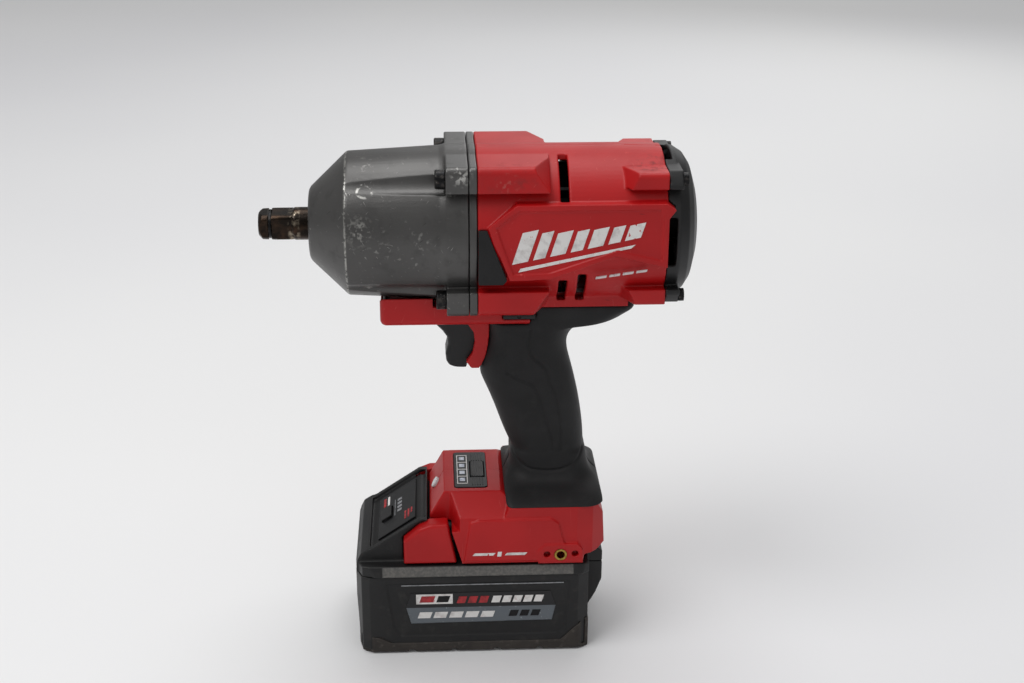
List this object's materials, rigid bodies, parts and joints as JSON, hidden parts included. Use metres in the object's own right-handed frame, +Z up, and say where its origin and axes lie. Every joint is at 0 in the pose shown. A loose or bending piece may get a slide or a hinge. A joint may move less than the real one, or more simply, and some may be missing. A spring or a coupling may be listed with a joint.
{
  "type": "cordless impact wrench",
  "caption": "Cordless pistol-grip impact wrench with a half-inch square drive, a grey hammer case, a red and black housing and a slide-on battery pack.",
  "frame": {"origin": "centre of the length, on the parting plane, at the underside of the battery pack", "axes": "+Z up, the nose points along -Y, +X towards the tool's left-hand shell"},
  "size_m": [0.078, 0.213, 0.258],
  "materials": {
    "cast_case": "satin grey enamel on a die casting, scuffed",
    "black_steel": "black oxide",
    "bright_steel": "ground",
    "spring_steel": "drawn",
    "bronze": "sintered, oiled",
    "red_nylon": "moulded, fine texture",
    "black_rubber": "soft overmould",
    "black_nylon": "moulded, fine texture",
    "grey_nylon": "moulded, worn",
    "panel_film": "smooth film",
    "clear_lens": "clear",
    "brass": "turned",
    "copper": "enamelled wire",
    "laminations": "stacked sheet",
    "board": "solder mask",
    "lead_insulation": "smooth",
    "cell_sleeve": "shrink film",
    "nickel": "plated strip",
    "label_film": "printed film"
  },
  "bodies": {
    "tool": {"housing_left": "red_nylon", "housing_right": "red_nylon", "hammer_case": "cast_case", "gear_case": "cast_case", "case_screws": "black_steel", "nose_bushing": "bronze", "ring_gear": "bright_steel", "front_bearing": "bright_steel", "rear_bearing": "bright_steel", "stator_core": "laminations", "stator_windings": "copper", "motor_board": "board", "grip_rubber_left": "black_rubber", "grip_rubber_right": "black_rubber", "side_patch_left": "black_rubber", "side_patch_right": "black_rubber", "housing_screws": "black_steel", "switch_body": "black_nylon", "trigger_spring": "spring_steel", "mode_panel": "panel_film", "lamp_lens": "clear_lens", "accessory_inserts": "brass", "rear_cap": "black_nylon", "rear_cap_screws": "black_steel", "terminal_block": "black_nylon", "control_board": "board", "motor_leads": "lead_insulation"},
    "gear_carrier": {"camshaft_carrier": "bright_steel", "planet_pins": "bright_steel", "hammer_spring": "spring_steel"},
    "anvil": {"anvil": "black_steel", "friction_ring": "spring_steel"},
    "rotor": {"rotor_shaft": "bright_steel", "rotor_core": "laminations", "cooling_fan": "black_nylon"},
    "planet_1": {"planet_gear_1": "bright_steel"},
    "planet_2": {"planet_gear_2": "bright_steel"},
    "planet_3": {"planet_gear_3": "bright_steel"},
    "cam_balls": {"cam_balls": "bright_steel"},
    "hammer": {"hammer": "bright_steel"},
    "trigger": {"trigger": "black_nylon"},
    "direction_shuttle": {"direction_shuttle": "black_nylon"},
    "mode_button": {"mode_button": "panel_film"},
    "pack": {"pack_upper_case": "black_nylon", "pack_lower_case": "black_nylon", "pack_bumper": "grey_nylon", "pack_cells": "cell_sleeve", "cell_holder": "black_nylon", "cell_straps": "nickel", "pack_board": "board", "pack_contacts": "nickel", "pack_screws": "black_steel", "gauge_panel": "panel_film", "side_labels": "label_film", "release_spring_left": "spring_steel", "release_spring_right": "spring_steel"},
    "gauge_button": {"gauge_button": "black_nylon"},
    "release_button_left": {"release_button_left": "red_nylon"},
    "release_button_right": {"release_button_right": "red_nylon"}
  },
  "joints": [
    {"name": "carrier_spin", "type": "hinge", "parent": "tool", "child": "gear_carrier", "pos_m": [0, 0, 0.22], "axis": [0, 1, 0], "continuous": true},
    {"name": "anvil_spin", "type": "hinge", "parent": "tool", "child": "anvil", "pos_m": [0, -0.09, 0.22], "axis": [0, 1, 0], "continuous": true},
    {"name": "rotor_spin", "type": "hinge", "parent": "tool", "child": "rotor", "pos_m": [0, 0.06, 0.22], "axis": [0, 1, 0], "continuous": true},
    {"name": "planet_1_spin", "type": "hinge", "parent": "gear_carrier", "child": "planet_1", "pos_m": [0, 0.0034, 0.23485], "axis": [0, 1, 0], "continuous": true},
    {"name": "planet_2_spin", "type": "hinge", "parent": "gear_carrier", "child": "planet_2", "pos_m": [0.01286, 0.0034, 0.21257], "axis": [0, 1, 0], "continuous": true},
    {"name": "planet_3_spin", "type": "hinge", "parent": "gear_carrier", "child": "planet_3", "pos_m": [-0.01286, 0.0034, 0.21257], "axis": [0, 1, 0], "continuous": true},
    {"name": "cam_turn", "type": "hinge", "parent": "gear_carrier", "child": "cam_balls", "pos_m": [0, -0.034, 0.22], "axis": [0, 1, 0], "range_deg": [0, 35]},
    {"name": "hammer_retract", "type": "slide", "parent": "cam_balls", "child": "hammer", "axis": [0, 1, 0], "range_m": [0, 0.008], "stiffness_N_per_m": 2000, "springref_m": -0.006, "deforming": ["hammer_spring"]},
    {"name": "trigger_pull", "type": "slide", "parent": "tool", "child": "trigger", "axis": [0, 1, 0], "range_m": [0, 0.0065], "stiffness_N_per_m": 900, "springref_m": -0.003, "deforming": ["trigger_spring"]},
    {"name": "direction_shift", "type": "slide", "parent": "tool", "child": "direction_shuttle", "axis": [1, 0, 0], "range_m": [-0.0035, 0.0035]},
    {"name": "mode_press", "type": "slide", "parent": "tool", "child": "mode_button", "axis": [0, 0, -1], "range_m": [0, 0.0005], "stiffness_N_per_m": 1500, "springref_m": -0.0003},
    {"name": "pack_slide", "type": "slide", "parent": "tool", "child": "pack", "axis": [0, -1, 0], "range_m": [0, 0.09]},
    {"name": "gauge_press", "type": "slide", "parent": "pack", "child": "gauge_button", "axis": [0, 0.5612, -0.8277], "range_m": [0, 0.0006], "stiffness_N_per_m": 1500, "springref_m": -0.0003},
    {"name": "release_left_press", "type": "slide", "parent": "pack", "child": "release_button_left", "axis": [-1, 0, 0], "range_m": [0, 0.003], "stiffness_N_per_m": 1200, "springref_m": -0.002, "deforming": ["release_spring_left"]},
    {"name": "release_right_press", "type": "slide", "parent": "pack", "child": "release_button_right", "axis": [1, 0, 0], "range_m": [0, 0.003], "stiffness_N_per_m": 1200, "springref_m": -0.002, "deforming": ["release_spring_right"]}
  ],
  "couplings": [
    {"joint": "anvil_spin", "follows": "carrier_spin", "ratio": 1},
    {"joint": "rotor_spin", "follows": "carrier_spin", "ratio": 5.5},
    {"joint": "planet_1_spin", "follows": "carrier_spin", "ratio": -2.5714},
    {"joint": "planet_2_spin", "follows": "carrier_spin", "ratio": -2.5714},
    {"joint": "planet_3_spin", "follows": "carrier_spin", "ratio": -2.5714},
    {"joint": "cam_turn", "follows": "hammer_retract", "rad_per_m": 76.35}
  ]
}
